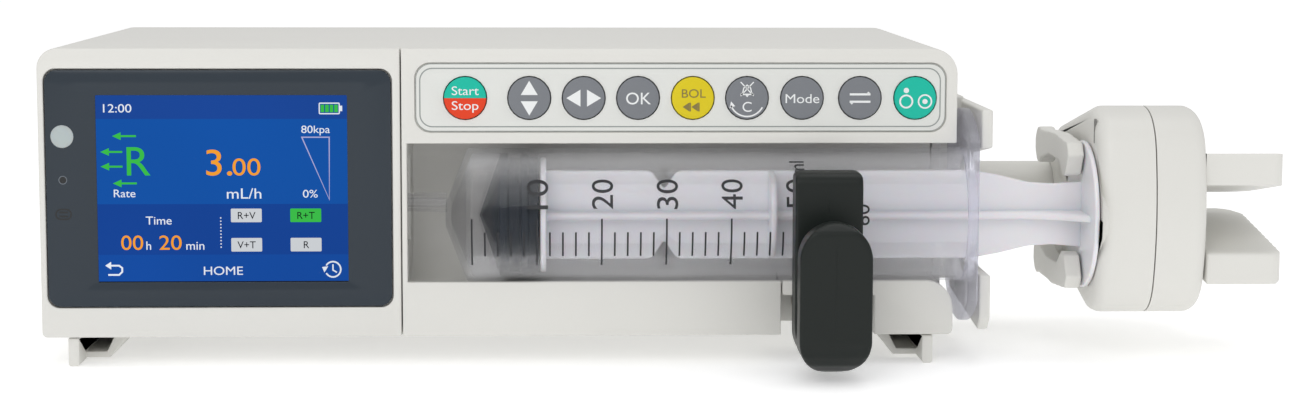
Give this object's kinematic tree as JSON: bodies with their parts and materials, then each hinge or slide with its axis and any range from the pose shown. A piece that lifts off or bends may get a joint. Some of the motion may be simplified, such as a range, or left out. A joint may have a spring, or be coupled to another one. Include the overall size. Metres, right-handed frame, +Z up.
{
  "type": "infusion pump",
  "caption": "Slim stackable syringe infusion pump with colour screen, key strip, loaded syringe in a trough, black barrel clamp and a sliding pusher head with clutch levers.",
  "frame": {"origin": "bottom centre of the whole pump's box, on the surface its rails stand on", "axes": "+X along the syringe towards the pusher head, +Y from the front face to the rear, +Z up"},
  "size_m": [0.287, 0.143, 0.0736],
  "materials": {
    "casing": "fine satin ABS",
    "casing_shade": "fine satin ABS, a shade darker",
    "screen_glass": "polished dark slate cover",
    "screen": "lit blue display",
    "light_lens": "frosted lens",
    "black_plastic": "semi-matt black nylon",
    "circuit_board": "solder mask",
    "battery_sleeve": "shrink sleeve",
    "label_film": "printed polyester film",
    "key_teal": "printed key",
    "key_grey": "printed key",
    "key_yellow": "printed key",
    "clear_plastic": "clear polypropylene",
    "milky_plastic": "milky polypropylene",
    "rubber": "moulded rubber",
    "steel": "ground steel",
    "aluminium": "milled",
    "brass": "turned"
  },
  "bodies": {
    "housing": {"rear_housing": "casing", "screen_frame": "casing", "syringe_bed": "casing", "clamp_block": "casing_shade", "flange_holder": "casing", "left_rail": "casing", "right_rail": "casing", "battery_door": "casing", "rear_screw_1": "steel", "rear_screw_2": "steel", "rear_screw_3": "steel", "rear_screw_4": "steel", "mains_inlet": "black_plastic", "speaker": "black_plastic", "touch_glass": "screen_glass", "status_light": "light_lens", "lcd_panel": "screen", "display_board": "circuit_board", "main_board": "circuit_board", "power_board": "circuit_board", "battery_pack": "battery_sleeve", "key_label": "label_film", "keypad_board": "circuit_board", "syringe_barrel": "clear_plastic", "clamp_bush": "brass", "clamp_spring": "steel", "tube_seal": "rubber", "drive_chassis": "aluminium", "stepper_motor": "steel", "drive_belt": "rubber", "left_screw_bearing": "steel", "right_screw_bearing": "steel", "guide_rod": "steel"},
    "pusher": {"carriage": "aluminium", "drive_tube": "casing", "head_left_shell": "casing", "head_right_shell": "casing", "pressure_plate": "steel", "plunger_rod": "milky_plastic", "plunger_stopper": "rubber"},
    "screw": {"lead_screw": "steel", "screw_pulley": "aluminium"},
    "motor_rotor": {"motor_pulley": "aluminium"},
    "clutch": {"clutch_lever": "casing", "clutch_rod": "steel"},
    "upper_claw_arm": {"upper_claw": "casing"},
    "lower_claw_arm": {"lower_claw": "casing"},
    "nut": {"half_nut": "brass"},
    "clamp_slider": {"clamp_collar": "steel"},
    "clamp": {"clamp_arm": "black_plastic", "clamp_shaft": "steel"},
    "start_stop_key": {"start_stop_key": "key_teal"},
    "up_down_key": {"up_down_key": "key_grey"},
    "left_right_key": {"left_right_key": "key_grey"},
    "ok_key": {"ok_key": "key_grey"},
    "bolus_key": {"bolus_key": "key_yellow"},
    "mute_clear_key": {"mute_clear_key": "key_grey"},
    "mode_key": {"mode_key": "key_grey"},
    "swap_key": {"swap_key": "key_grey"},
    "power_key": {"power_key": "key_teal"}
  },
  "joints": [
    {"name": "pusher_slide", "type": "slide", "parent": "housing", "child": "pusher", "axis": [1, 0, 0], "range_m": [-0.006, 0.085]},
    {"name": "screw_spin", "type": "hinge", "parent": "housing", "child": "screw", "pos_m": [-0.00355, 0.0375, 0.0342], "axis": [1, 0, 0], "continuous": true},
    {"name": "motor_spin", "type": "hinge", "parent": "housing", "child": "motor_rotor", "pos_m": [-0.06855, 0.0535, 0.0246], "axis": [1, 0, 0], "continuous": true},
    {"name": "clutch_squeeze", "type": "hinge", "parent": "pusher", "child": "clutch", "pos_m": [0.12645, 0.0165, 0.0342], "axis": [-1, 0, 0], "range_deg": [0, 10], "stiffness_Nm_per_rad": 0.3, "springref_deg": -17.19},
    {"name": "upper_claw_open", "type": "hinge", "parent": "pusher", "child": "upper_claw_arm", "pos_m": [0.09645, -0.0005, 0.048], "axis": [-1, 0, 0], "range_deg": [0, 20]},
    {"name": "lower_claw_open", "type": "hinge", "parent": "pusher", "child": "lower_claw_arm", "pos_m": [0.09645, -0.0005, 0.0204], "axis": [1, 0, 0], "range_deg": [0, 20]},
    {"name": "half_nut_lift", "type": "slide", "parent": "pusher", "child": "nut", "axis": [0, 0, 1], "range_m": [0, 0.0031]},
    {"name": "clamp_pull", "type": "slide", "parent": "housing", "child": "clamp_slider", "axis": [0, -1, 0], "range_m": [0, 0.02], "stiffness_N_per_m": 60, "springref_m": -0.05, "deforming": ["clamp_spring"]},
    {"name": "clamp_swing", "type": "hinge", "parent": "clamp_slider", "child": "clamp", "pos_m": [0.03645, -0.0405, 0.012], "axis": [0, -1, 0], "range_deg": [0, 90]},
    {"name": "start_stop_press", "type": "slide", "parent": "housing", "child": "start_stop_key", "axis": [0, 1, 0], "range_m": [0, 0.0005], "stiffness_N_per_m": 300, "springref_m": -0.002},
    {"name": "up_down_press", "type": "slide", "parent": "housing", "child": "up_down_key", "axis": [0, 1, 0], "range_m": [0, 0.0005], "stiffness_N_per_m": 300, "springref_m": -0.002},
    {"name": "left_right_press", "type": "slide", "parent": "housing", "child": "left_right_key", "axis": [0, 1, 0], "range_m": [0, 0.0005], "stiffness_N_per_m": 300, "springref_m": -0.002},
    {"name": "ok_press", "type": "slide", "parent": "housing", "child": "ok_key", "axis": [0, 1, 0], "range_m": [0, 0.0005], "stiffness_N_per_m": 300, "springref_m": -0.002},
    {"name": "bolus_press", "type": "slide", "parent": "housing", "child": "bolus_key", "axis": [0, 1, 0], "range_m": [0, 0.0005], "stiffness_N_per_m": 300, "springref_m": -0.002},
    {"name": "mute_clear_press", "type": "slide", "parent": "housing", "child": "mute_clear_key", "axis": [0, 1, 0], "range_m": [0, 0.0005], "stiffness_N_per_m": 300, "springref_m": -0.002},
    {"name": "mode_press", "type": "slide", "parent": "housing", "child": "mode_key", "axis": [0, 1, 0], "range_m": [0, 0.0005], "stiffness_N_per_m": 300, "springref_m": -0.002},
    {"name": "swap_press", "type": "slide", "parent": "housing", "child": "swap_key", "axis": [0, 1, 0], "range_m": [0, 0.0005], "stiffness_N_per_m": 300, "springref_m": -0.002},
    {"name": "power_press", "type": "slide", "parent": "housing", "child": "power_key", "axis": [0, 1, 0], "range_m": [0, 0.0005], "stiffness_N_per_m": 300, "springref_m": -0.002}
  ],
  "couplings": [
    {"joint": "screw_spin", "follows": "pusher_slide", "rad_per_m": 3141.6},
    {"joint": "motor_spin", "follows": "pusher_slide", "rad_per_m": 4188.8},
    {"joint": "upper_claw_open", "follows": "clutch_squeeze", "ratio": 2},
    {"joint": "lower_claw_open", "follows": "clutch_squeeze", "ratio": 2},
    {"joint": "half_nut_lift", "follows": "clutch_squeeze", "m_per_rad": 0.017189}
  ]
}
